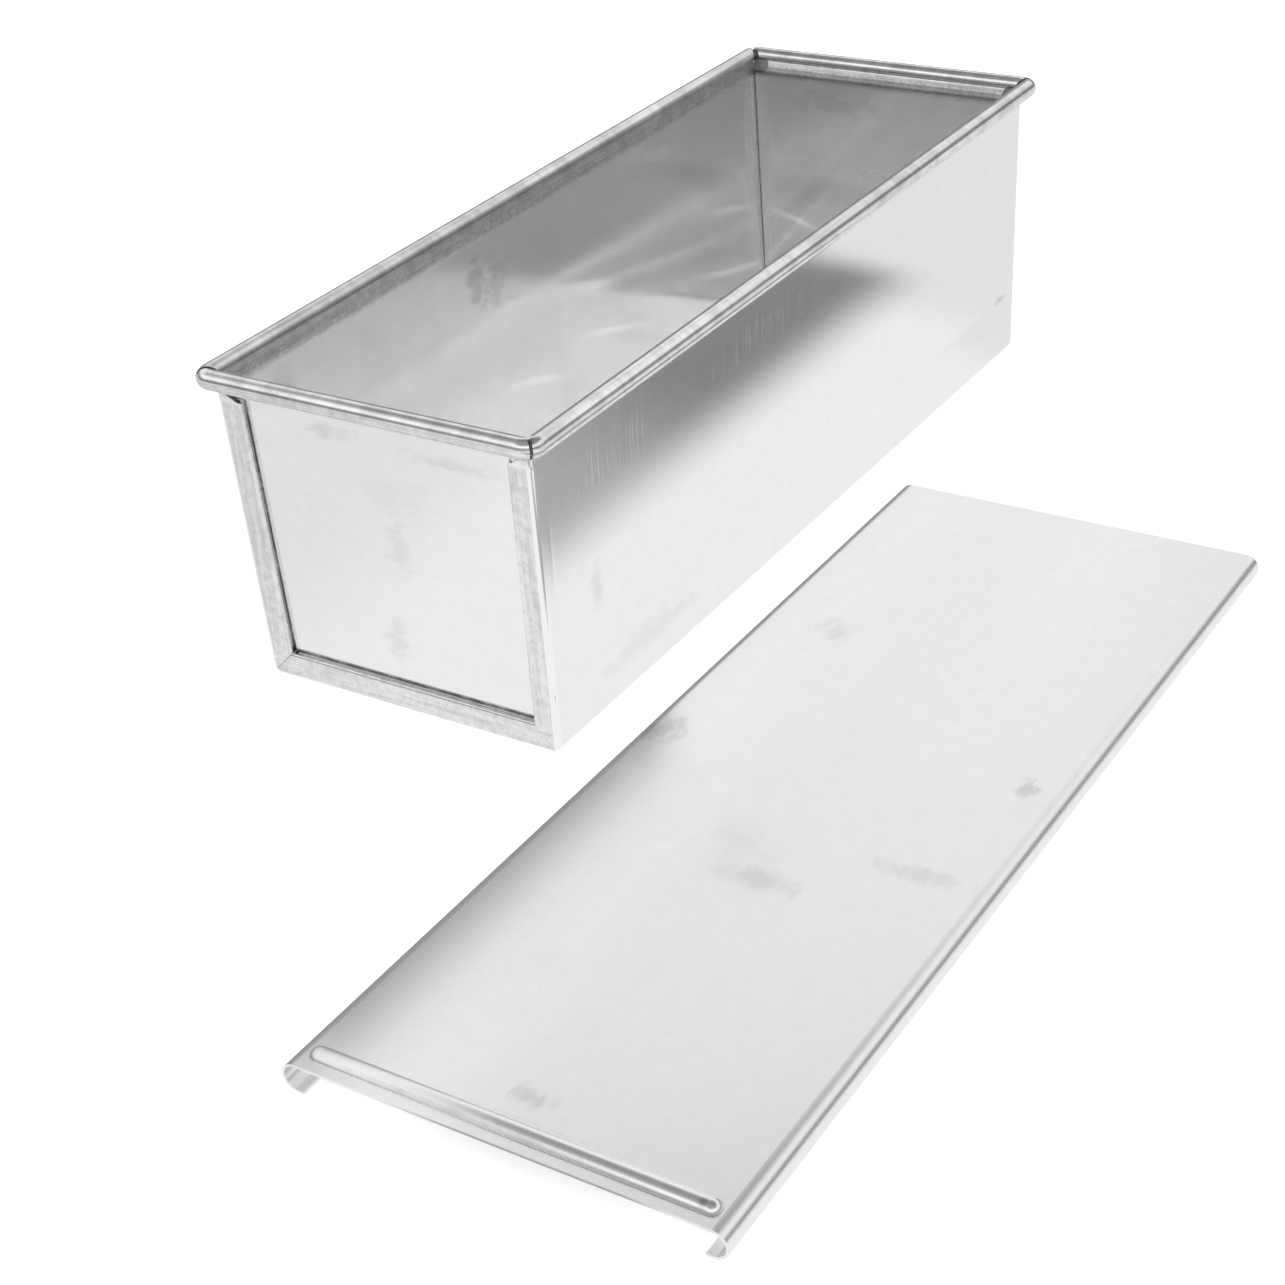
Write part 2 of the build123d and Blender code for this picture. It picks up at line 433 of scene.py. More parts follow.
    def _crease(self) -> Tree:
        """Makes a shallow bent ridge between two places, which fades out at both and can be wider above than below.

        Returns:
            The group's tree.
        """
        board, start, end = self._start("crease", {
            "Vector": NOWHERE, "Start": NOWHERE, "End": (0.0, 1.0, 0.0), "Bow": 0.0, "Width": 1.0 * MM,
            "Lean": 0.0}, ["Height"])
        run = board.vector("SUBTRACT", start.outputs["End"], start.outputs["Start"])
        from_start = board.vector("SUBTRACT", start.outputs["Vector"], start.outputs["Start"])
        share = board.math(
            "DIVIDE", board.vector("DOT_PRODUCT", from_start, run), board.vector("DOT_PRODUCT", run, run))
        scaled = board.add("ShaderNodeVectorMath", operation="SCALE")
        board.feed(scaled.inputs[0], run)
        board.feed(scaled.inputs["Scale"], share)
        off = board.vector("SUBTRACT", from_start, scaled.outputs[0])
        arch = board.times(share, board.math("SUBTRACT", 1.0, share), 4.0)
        rise = board.add("ShaderNodeCombineXYZ")
        board.feed(rise.inputs[2], board.times(arch, start.outputs["Bow"]))
        off = board.vector("SUBTRACT", off, rise.outputs[0])
        distance = board.vector("LENGTH", off, NOWHERE)
        above = board.step(board.parts(off)[2], -0.2 * MM, 0.2 * MM)
        spread = board.math("ADD", 1.0, board.times(above, start.outputs["Lean"]))
        ratio = board.math("DIVIDE", distance, board.times(start.outputs["Width"], spread))
        bell = board.math("POWER", EULER, board.times(ratio, ratio, -1.0))
        ends = board.math("MULTIPLY", arch, 1.0, clamp=True)
        board.feed(end.inputs["Height"], board.times(bell, ends))
        return board.tree

    def _spot(self) -> Tree:
        """Makes a soft ragged patch about a place that is already centred and scaled to a radius of one.

        Returns:
            The group's tree.
        """
        board, start, end = self._start("spot", {"Vector": NOWHERE, "Noise": 0.5, "Ragged": 0.4}, ["Mask"])
        length = board.vector("LENGTH", start.outputs["Vector"], NOWHERE)
        swing = board.math("SUBTRACT", start.outputs["Noise"], 0.5)
        edge = board.math("ADD", length, board.times(swing, start.outputs["Ragged"], 3.0))
        board.feed(end.inputs["Mask"], board.step(edge, 0.1, 1.0, *FALL))
        return board.tree


class Wear(Enum):
    """Kinds of mark that handling leaves on sheet metal; the lighter tone of a rub can also be a painted sheen."""

    STAIN = "stain"
    RUB = "rub"
    SCRAPES = "scrapes"


@dataclass(frozen=True)
class PanLines:
    """Lines of the pan that the marks on it keep to, from its middle or its base.

    The walls lean, so the strips' lines across the pan hold at the rim, and those along it hold at the base.
    """

    height: float = 95.0 * MM
    lean: float = 0.02105
    rim_side: float = 50.4 * MM
    rim_end: float = 142.9 * MM
    rim_foot: float = 85.5 * MM
    strip_bend: float = 49.2 * MM
    strip_edge: float = 43.1 * MM
    strip_top: float = 84.5 * MM
    strip_face: float = 140.9 * MM
    strip_fold: float = 141.7 * MM
    panel: float = 140.4 * MM
    foot_edge: float = 8.0 * MM


LINES = PanLines()


@dataclass(frozen=True)
class Mark:
    """A mark at one place on a surface, in millimetres."""

    centre: Triple
    size: Triple
    tone: float
    strength: float = 0.5
    ragged: float = 0.5
    wear: Wear = Wear.STAIN


@dataclass(frozen=True)
class Crease:
    """A shallow ridge left in the sheet by handling, in millimetres."""

    start: Triple
    end: Triple
    bow: float = 0.0
    width: float = 1.6
    depth: float = 0.09
    lean: float = 0.0
    all_corners: bool = False


@dataclass(frozen=True)
class SheetFinish:
    """Finish of rolled, aluminised steel sheet."""

    name: str
    along: Triple
    across: Triple
    tint: Triple = (0.925, 0.925, 0.93)
    dull: Triple = (0.80, 0.80, 0.80)
    roughness: float = 0.11
    grain_stretch: float = 0.05
    buckle_scale: float = 11.0
    buckle_depth: float = 0.5 * MM
    smudge_share: float = 0.42
    scratch_share: float = 0.42
    rim_marks: bool = True
    # How much darker the rim's inner side is made
    rim_inside_darkening: float = 0.1
    strip_marks: bool = False
    # Whether painted shade lies along the end panels' seams
    seam_shade: bool = False
    marks: tuple[Mark, ...] = ()
    creases: tuple[Crease, ...] = ()

    def make(self, effects: SheetEffects) -> bpy.types.Material:
        """Builds the material.

        Args:
            effects: The shared node groups.

        Returns:
            The finished material.
        """
        material, board = blank(self.name)
        output = board.add("ShaderNodeOutputMaterial")
        shader = board.add("ShaderNodeBsdfPrincipled")
        board.feed(output.inputs["Surface"], shader.outputs[0])
        shader.inputs["Metallic"].default_value = 1.0
        place = board.add("ShaderNodeTexCoord").outputs["Object"]
        flat = board.group(effects.flat, Vector=place, Along=self.along, Across=self.across).outputs["PLACE"]
        looks = self._handling(board, effects, place, flat, self._sheet(board, effects, flat))
        if self.rim_marks:
            looks = self._rim(board, effects, place, flat, looks)
        if self.seam_shade:
            looks = self._seam(board, place, flat, looks)
        if self.strip_marks:
            looks = self._strips(board, place, looks)
        colour, rough, height = looks
        board.feed(shader.inputs["Base Color"], colour)
        board.feed(shader.inputs["Roughness"], rough)
        bump = board.add("ShaderNodeBump")
        bump.inputs["Strength"].default_value = 1.0
        bump.inputs["Distance"].default_value = 1.0
        board.feed(bump.inputs["Height"], height)
        board.feed(shader.inputs["Normal"], bump.outputs[0])
        LOG.info("finish %s", self.name)
        return material

    def _sheet(self, board: Board, effects: SheetEffects, flat: Socket) -> Looks:
        """Makes the plain sheet: its grain, mottle, smudges, hair scratches and slow waves.

        Args:
            board: The board to place the nodes on.
            effects: The shared node groups.
            flat: The socket of the place laid out flat.

        Returns:
            The sockets of its colour, roughness and height.
        """
        grain = board.group(effects.grain, Vector=flat, Stretch=self.grain_stretch).outputs["Value"]
        smudge = board.group(
            effects.smudges, Vector=flat, Low=1.0 - self.smudge_share, High=1.2 - self.smudge_share)
        scratch = board.group(effects.scratches, Vector=flat, Scale=26.0, Width=0.006, Share=self.scratch_share)
        colour = board.blend(board.times(smudge.outputs["Mask"], 0.35), self.tint, self.dull)
        colour = board.shade(colour, board.step(smudge.outputs["Mottle"], *SPAN, 0.982, 1.006))
        colour = board.shade(colour, board.step(grain, *SPAN, 0.99, 1.006))
        colour = board.blend(board.times(scratch.outputs["Mask"], 0.35), colour, CLEAN_AND_EDGE_HIGHLIGHT)
        rough = board.step(smudge.outputs["Mask"], 0.0, 1.0, self.roughness, self.roughness + 0.07)
        rough = board.math("ADD", rough, board.step(grain, *SPAN, -0.01, 0.01))
        buckle = board.group(effects.buckle, Vector=flat, Scale=self.buckle_scale).outputs["Height"]
        return colour, rough, board.times(buckle, self.buckle_depth)

    def _handling(
            self, board: Board, effects: SheetEffects, place: Socket, flat: Socket, so_far: Looks) -> Looks:
        """Adds the marks and creases of handling at their places.

        Args:
            board: The board to place the nodes on.
            effects: The shared node groups.
            place: The socket of the place.
            flat: The socket of the place laid out flat.
            so_far: The colour, roughness and height so far.

        Returns:
            The three with the marks and creases on them.
        """
        colour, rough, height = so_far
        ragged = board.noise(board.vector("MULTIPLY", flat, (0.55, 1.0, 1.0)), 210.0, 4.0, 0.68, 0.3)
        lines = board.noise(board.vector("MULTIPLY", place, (1700.0, 1700.0, 30.0)), 1.0, 2.0, 0.5)
        lines = board.step(lines, 0.52, 0.66)
        for mark in self.marks:
            colour, rough = self._wear(board, effects, (place, ragged, lines), mark, (colour, rough))
        for crease in self.creases:
            height = board.math("ADD", height, self._ridge(board, effects, place, crease))
        return colour, rough, height

    def _rim(
            self, board: Board, effects: SheetEffects, place: Socket, flat: Socket, so_far: Looks) -> Looks:
        """Adds the drawn lines and the rubbed, speckled underside of the rolled rim.

        Args:
            board: The board to place the nodes on.
            effects: The shared node groups.
            place: The socket of the place.
            flat: The socket of the place laid out flat.
            so_far: The colour, roughness and height so far.

        Returns:
            The three with the rim's marks on them.
        """
        colour, rough, height = so_far
        x, y, up = board.parts(place)
        zone = board.step(up, LINES.rim_foot, LINES.rim_foot + 3.0 * MM)
        across = board.math("SUBTRACT", board.math("ABSOLUTE", x), LINES.rim_side)
        along = board.math("SUBTRACT", board.math("ABSOLUTE", y), LINES.rim_end)
        outer = board.step(board.math("MAXIMUM", across, along), 0.0, 0.4 * MM)
        inner = board.times(zone, board.math("SUBTRACT", 1.0, outer))
        low = board.step(up, LINES.rim_foot + 4.0 * MM, LINES.rim_foot + 6.0 * MM, *FALL)
        under = board.times(zone, low, board.step(outer, 0.0, 1.0, 0.5, 1.0))
        drawn = board.group(effects.grain, Vector=flat, Scale=1500.0, Stretch=0.012).outputs["Value"]
        speckle = board.noise(place, 900.0, 2.0, 0.7)
        worn = board.step(board.noise(flat, 130.0, 4.0, 0.7), 0.35, 0.62, 0.80, 1.0)
        colour = board.blend(zone, colour, board.shade(colour, board.step(drawn, 0.35, 0.65, 0.80, 1.03)))
        rubbed = board.shade(colour, board.step(speckle, 0.42, 0.6, 0.55, 1.05))
        colour = board.blend(board.times(under, 0.7), colour, rubbed)
        # The rim's inner side is made darker.
        darker_inside = board.blend(1.0, colour, RIM_INSIDE_GREY, "MULTIPLY")
        colour = board.blend(board.times(inner, self.rim_inside_darkening), colour, darker_inside)
        colour = board.blend(zone, colour, board.shade(colour, worn))
        for mask, more in ((under, 0.12), (zone, 0.10), (inner, 0.14)):
            rough = board.math("ADD", rough, board.times(mask, more))
        lines = board.times(drawn, zone, board.step(outer, 0.0, 1.0, 0.005 * MM, 0.02 * MM))
        rubs = board.times(speckle, under, 0.05 * MM)
        return colour, rough, board.math("ADD", height, board.math("ADD", lines, rubs))

    @staticmethod
    def _upright(board: Board, place: Socket) -> tuple[Socket, Socket, Socket]:
        """Takes the walls' lean out of a place, alike on all four sides of the pan.

        Args:
            board: The board to place the nodes on.
            place: The socket of the place.

        Returns:
            The sockets of the distance from the middle across the pan, as at the rim, and along it, as at the
            base, and of the height.
        """
        x, y, up = board.parts(place)
        drop = board.times(board.math("SUBTRACT", LINES.height, up), LINES.lean)
        across = board.math("ADD", board.math("ABSOLUTE", x), drop)
        along = board.math("SUBTRACT", board.math("ABSOLUTE", y), board.times(up, LINES.lean))
        return across, along, up

    def _strips(self, board: Board, place: Socket, so_far: Looks) -> Looks:
        """Adds the marks of the folding tool on the strips round the ends, and a painted highlight along each
        strip's outer bend.

        Args:
            board: The board to place the nodes on.
            place: The socket of the place.
            so_far: The colour, roughness and height so far.

        Returns:
            The three with the strips' marks on them.
        """
        colour, rough, height = so_far
        across, along, up = self._upright(board, place)
        below_rim = board.step(up, LINES.strip_top, LINES.strip_top + 1.5 * MM, *FALL)
        zone = board.times(board.step(along, LINES.strip_face, LINES.strip_face + 0.4 * MM), below_rim)
        bend = board.times(zone, board.step(across, LINES.strip_bend, LINES.strip_bend + 0.4 * MM))
        marked = board.times(zone, board.math("SUBTRACT", 1.0, bend))
        on_foot, on_side = (
            board.noise(board.vector("MULTIPLY", place, stretch), 1.0, 3.0, 0.6)
            for stretch in ((30.0, 900.0, 900.0), (900.0, 900.0, 30.0)))
        upright = board.step(up, LINES.foot_edge - 2.0 * MM, LINES.foot_edge + 0.5 * MM)
        pick = board.add("ShaderNodeMix", data_type="FLOAT")
        for index, value in ((0, upright), (2, on_foot), (3, on_side)):
            board.feed(pick.inputs[index], value)
        streak = pick.outputs[0]
        speckle = board.noise(place, 420.0, 3.0, 0.7)
        tone = board.times(board.step(streak, *SPAN, 0.80, 1.0), board.step(speckle, 0.35, 0.6, 0.86, 1.0))
        colour = board.blend(marked, colour, board.shade(colour, tone))
        # Painted highlight: each strip's outer bend is made lighter.
        colour = board.blend(bend, colour, CLEAN_AND_EDGE_HIGHLIGHT)
        rough = board.math("ADD", rough, board.times(marked, 0.12))
        lines = board.times(streak, marked, 0.03 * MM)
        past = board.math("MAXIMUM", board.math("SUBTRACT", along, LINES.strip_fold), 0.0)
        rounding = board.times(past, past, zone, 170.0)
        return colour, rough, board.math("SUBTRACT", board.math("ADD", height, lines), rounding)

    def _seam(self, board: Board, place: Socket, flat: Socket, so_far: Looks) -> Looks:
        """Adds painted shade in the corner between an end panel and its folded strips, in patches.

        Args:
            board: The board to place the nodes on.
            place: The socket of the place.
            flat: The socket of the place laid out flat.
            so_far: The colour, roughness and height so far.

        Returns:
            The three with the painted shade on them.
        """
        colour, rough, height = so_far
        across, along, up = self._upright(board, place)
        off_side = board.math("ABSOLUTE", board.math("SUBTRACT", across, LINES.strip_edge))
        off_foot = board.math("ABSOLUTE", board.math("SUBTRACT", up, LINES.foot_edge))
        below_rim = board.step(up, 85.0 * MM, 86.5 * MM, *FALL)
        side = board.times(board.step(off_side, 0.2 * MM, 0.7 * MM, *FALL), below_rim)
        foot = board.step(off_foot, 0.2 * MM, 0.8 * MM, *FALL)
        outside = board.step(along, LINES.panel, LINES.panel + 0.2 * MM)
        patchy = board.step(board.noise(flat, 160.0, 4.0, 0.7), 0.3, 0.55, 0.35, 0.85)
        # Painted shade along the strips' inner edges and the foot strip's top edge, in patches.
        shading = board.times(board.math("MAXIMUM", side, foot), outside, patchy)
        return board.blend(shading, colour, SEAM_SHADE_GREY), rough, height

    @staticmethod
    def _ridge(board: Board, effects: SheetEffects, place: Socket, crease: Crease) -> Socket:
        """Makes the height of one crease.

        Args:
            board: The board to place the nodes on.
            effects: The shared node groups.
            place: The socket of the place.
            crease: The crease.

        Returns:
            The height's socket.
        """
        if crease.all_corners:
            place = board.vector("ABSOLUTE", place, NOWHERE)
        ridge = board.group(
            effects.crease, Vector=place, Bow=crease.bow * MM, Width=crease.width * MM, Lean=crease.lean,
            Start=tuple(each * MM for each in crease.start), End=tuple(each * MM for each in crease.end))
        return board.times(ridge.outputs["Height"], crease.depth * MM)

    @staticmethod
    def _wear(
            board: Board, effects: SheetEffects, at: tuple[Socket, Socket, Socket], mark: Mark,
            so_far: tuple[Socket, Socket]) -> tuple[Socket, Socket]:
        """Puts one mark over a finish.

        Args:
            board: The board to place the nodes on.
            effects: The shared node groups.
            at: The sockets of the place, of the noise at the marks' edges and of the scraped lines.
            mark: The mark.
            so_far: The colour and roughness so far.

        Returns:
            The two with the mark on them.
        """
        colour, rough = so_far
        place, ragged, lines = at
        moved = board.vector("SUBTRACT", place, tuple(each * MM for each in mark.centre))
        scaled = board.vector("DIVIDE", moved, tuple(each * MM for each in mark.size))
        mask = board.group(effects.spot, Vector=scaled, Noise=ragged, Ragged=mark.ragged).outputs["Mask"]
        if mark.wear is Wear.SCRAPES:
            mask = board.times(mask, lines)
        mask = board.times(mask, mark.strength)
        if mark.wear is not Wear.STAIN:
            rough = board.math("ADD", rough, board.times(mask, 0.4))
        return board.blend(mask, colour, (mark.tone, mark.tone, mark.tone)), rough


@dataclass(frozen=True)
class WireFinish:
    """Finish of the drawn wire that shows in the rim's corner slits: painted near-black as the shade inside the
    curl.
    """

    name: str = "rim_wire"
    # Near-black painted shade of the curl's inside, with a slightly lighter grain
    tint: Triple = (0.10, 0.10, 0.10)
    glint: Triple = (0.22, 0.22, 0.21)

    def make(self, effects: SheetEffects) -> bpy.types.Material:
        """Builds the material.

        Args:
            effects: The shared node groups.

        Returns:
            The finished material.
        """
        material = bpy.data.materials.new(self.name)
        material.use_nodes = True
        board = Board(material.node_tree)
        shader = material.node_tree.nodes["Principled BSDF"]
        shader.inputs["Metallic"].default_value = 1.0
        place = board.add("ShaderNodeTexCoord").outputs["Object"]
        flat = board.group(effects.flat, Vector=place).outputs["PLACE"]
        grain = board.group(effects.grain, Vector=flat, Scale=1600.0).outputs["Value"]
        board.feed(shader.inputs["Base Color"], board.blend(grain, self.tint, self.glint))
        board.feed(shader.inputs["Roughness"], board.step(grain, *SPAN, 0.4, 0.6))
        LOG.info("finish %s", self.name)
        return material


@dataclass(frozen=True)
class Card:
    """Place of a card that only the metal mirrors: its middle, its width and length, and its turn about Y."""

    name: str
    middle: Triple
    size: tuple[float, float]
    turn: float = 0.0


@dataclass
class Studio:
    """White floor, soft light and the camera.

    A Step gives where a soft step starts and ends, and the brightness before and after it. The world's steps go
    by the sine of the height above the horizon, or along Y, and the others by metres.
    """

    floor_half: float = 1.6
    paper: Triple = (0.9, 0.9, 0.9)
    paper_glow: float = 0.5
    focal: float = 66.87
    sensor: float = 36.0
    nearest: float = 0.01
    azimuth: float = 34.32
    elevation: float = 30.67
    roll: float = -4.65
    distance: float = 0.678
    target: Triple = (0.0383, -0.0846, 0.0)
    glossy_bounces: int = 10
    low_card: Card = Card("studio_card_low", (0.2290, 0.125, 0.0112), (0.341, 0.95))
    side_card: Card = Card("studio_card_side", (0.0620, -0.05, 0.0505), (0.099, 0.75), math.pi / 2)
    skirting: Step = (0.28, 0.38, 0.27, 0.60)
    band_foot: Step = (0.372, 0.402, 0.0, 0.42)
    band_top: Step = (0.455, 0.50, 1.0, 0.92)
    front_wall: Step = (-0.30, 0.0, 0.25, 0.0)
    ceiling: Step = (0.68, 0.80, 1.0, 0.26)
    ground: Step = (-0.02, 0.0, 0.9, 0.0)
    floor_far: Step = (0.115, 0.150, 0.91, 0.82)
    floor_left: Step = (-0.10, -0.02, 0.10, 0.0)
    patch_left: Step = (0.083, 0.113, 0.0, 1.0)
    patch_right: Step = (0.150, 0.165, 1.0, 0.0)
    patch_far: Step = (0.145, 0.171, 1.0, 0.0)
    patch_tone: Step = (-0.05, 0.06, 0.43, 0.235)
    foot: Step = (0.0125, 0.0145, 0.30, 0.92)
    foot_shade: Step = (0.010, 0.046, 1.0, 0.0)
    foot_front: Step = (-0.300, -0.245, 0.0, 1.0)
    foot_rear: Step = (-0.122, -0.098, 0.60, 0.0)

    def build(self) -> None:
        """Builds the whole studio."""
        self._camera()
        self._floor()
        self._card(self.low_card, self._mirror_level)
        self._card(self.side_card, self._side_level)
        self._world()
        scene = bpy.context.scene
        scene.cycles.glossy_bounces = self.glossy_bounces
        scene.view_settings.view_transform = "Standard"
        scene.view_settings.look = "None"
        LOG.info("studio")

    def _camera(self) -> None:
        """Adds the camera where the photograph was taken from."""
        az, el, roll = (math.radians(each) for each in (self.azimuth, self.elevation, self.roll))
        back = Vector((math.sin(az) * math.cos(el), -math.cos(az) * math.cos(el), math.sin(el)))
        side = Vector((0.0, 0.0, 1.0)).cross(back).normalized()
        up = back.cross(side)
        right = side * math.cos(roll) + up * math.sin(roll)
        top = up * math.cos(roll) - side * math.sin(roll)
        data = bpy.data.cameras.new("camera")
        data.lens = self.focal
        data.sensor_width = self.sensor
        data.clip_start = self.nearest
        camera = bpy.data.objects.new("camera", data)
        bpy.context.scene.collection.objects.link(camera)
        turned = Matrix((right, top, back)).transposed().to_4x4()
        camera.matrix_world = Matrix.Translation(Vector(self.target) + back * self.distance) @ turned
        bpy.context.scene.camera = camera

    def _floor(self) -> None:
        """Adds the white floor, which the metal mirrors with a soft dark patch at the pan's right."""
        bpy.ops.mesh.primitive_plane_add(size=2 * self.floor_half, location=(0.0, 0.0, 0.0))
        floor = bpy.context.object
        floor.name = "studio_floor"
        material, board = blank("studio_paper")
        output = board.add("ShaderNodeOutputMaterial")
        place = board.add("ShaderNodeTexCoord").outputs["Object"]
        mirrored = board.add("ShaderNodeEmission")
        board.feed(mirrored.inputs["Strength"], self._mirror_level(board, place))
        paper = board.add("ShaderNodeBsdfDiffuse")
        board.feed(paper.inputs["Color"], self.paper)
        glow = board.add("ShaderNodeEmission")
        glow.inputs["Strength"].default_value = self.paper_glow
        lit = board.add("ShaderNodeAddShader")
        board.feed(lit.inputs[0], paper.outputs[0])
        board.feed(lit.inputs[1], glow.outputs[0])
        path = board.add("ShaderNodeLightPath")
        unseen = self._pick(board, path.outputs["Is Glossy Ray"], paper, mirrored)
        seen = self._pick(board, path.outputs["Is Camera Ray"], unseen, lit)
        board.feed(output.inputs["Surface"], seen.outputs[0])
        material.cycles.emission_sampling = "NONE"
        floor.data.materials.append(material)

    @staticmethod
    def _pick(board: Board, which: Socket, first: bpy.types.Node, second: bpy.types.Node) -> bpy.types.Node:
        """Picks one of two shaders.

        Args:
            board: The board to place the node on.
            which: The socket of a value that is 0 for the first shader and 1 for the second.
            first: The first shader.
            second: The second shader.

        Returns:
            The picking node.
        """
        pick = board.add("ShaderNodeMixShader")
        board.feed(pick.inputs[0], which)
        board.feed(pick.inputs[1], first.outputs[0])
        board.feed(pick.inputs[2], second.outputs[0])
        return pick

    def _mirror_level(self, board: Board, place: Socket) -> Socket:
        """Makes the brightness that the metal mirrors low down: white paper with a dark patch right of the pan.

        Args:
            board: The board to place the nodes on.
            place: The socket of the place.

        Returns:
            The brightness's socket.
        """
        x, y, _ = board.parts(place)
        paper = board.math("SUBTRACT", board.step(y, *self.floor_far), board.step(x, *self.floor_left))
        patch = board.times(
            board.step(x, *self.patch_left), board.step(x, *self.patch_right), board.step(y, *self.patch_far))
        fall = board.times(patch, board.math("SUBTRACT", paper, board.step(y, *self.patch_tone)))
        return board.math("SUBTRACT", paper, fall)

    def _side_level(self, board: Board, place: Socket) -> Socket:
        """Makes the brightness that the lid mirrors beside it: white, with a soft dark foot along its front part.

        Args:
            board: The board to place the nodes on.
            place: The socket of the place.

        Returns:
            The brightness's socket.
        """
        _, y, up = board.parts(place)
        dark = board.times(
            board.step(up, *self.foot_shade), board.step(y, *self.foot_front), board.step(y, *self.foot_rear),
            board.step(up, *self.foot[:2]))
        return board.math("SUBTRACT", board.step(up, *self.foot), dark)

    def _card(self, place: Card, level: Callable[[Board, Socket], Socket]) -> None:
        """Adds a card that only shows from its front, and only in the metal.

        The photo's pan and lid were taken apart from each other, so neither mirrors the other.

        Args:
            place: Where the card stands.
            level: Makes its brightness from a point on it.
        """
        bpy.ops.mesh.primitive_plane_add(size=1.0, location=place.middle, rotation=(0.0, place.turn, 0.0))
        card = bpy.context.object
        card.name = place.name
        card.scale = (*place.size, 1.0)
        bpy.ops.object.transform_apply(location=True, rotation=True, scale=True)
        material, board = blank(place.name)
        output = board.add("ShaderNodeOutputMaterial")
        point = board.add("ShaderNodeTexCoord").outputs["Object"]
        glow = board.add("ShaderNodeEmission")
        board.feed(glow.inputs["Strength"], level(board, point))
        clear = board.add("ShaderNodeBsdfTransparent")
        behind = board.add("ShaderNodeNewGeometry").outputs["Backfacing"]
        board.feed(output.inputs["Surface"], self._pick(board, behind, glow, clear).outputs[0])
        material.cycles.emission_sampling = "NONE"
        card.data.materials.append(material)
        card.visible_camera = False
        card.visible_shadow = False
        card.visible_diffuse = False

    def _world(self) -> None:
        """Sets the light: a bright band all round between a dark skirting and ceiling. The paper sees white."""
        world = bpy.data.worlds.new("studio_walls")
        bpy.context.scene.world = world
        world.use_nodes = True
        world.node_tree.nodes.clear()
        board = Board(world.node_tree)
        output = board.add("ShaderNodeOutputWorld")
        way = board.add("ShaderNodeTexCoord").outputs["Generated"]
        _, along, up = board.parts(way)
        band = board.math("ADD", board.step(up, *self.skirting), board.step(up, *self.band_foot))
        band = board.times(band, board.step(up, *self.band_top))
        front = board.times(board.step(along, *self.front_wall), board.step(up, *self.band_top[:2]))
        level = board.times(board.math("ADD", band, front), board.step(up, *self.ceiling))
        walls = board.add("ShaderNodeBackground")
        white = board.add("ShaderNodeBackground")
        for light in (walls, white):
            board.feed(light.inputs["Color"], (1.0, 1.0, 1.0))
        board.feed(walls.inputs["Strength"], board.math("MAXIMUM", level, board.step(up, *self.ground)))
        path = board.add("ShaderNodeLightPath")
        plain = board.math("MAXIMUM", path.outputs["Is Camera Ray"], path.outputs["Is Diffuse Ray"])
        board.feed(output.inputs["Surface"], self._pick(board, plain, walls, white).outputs[0])


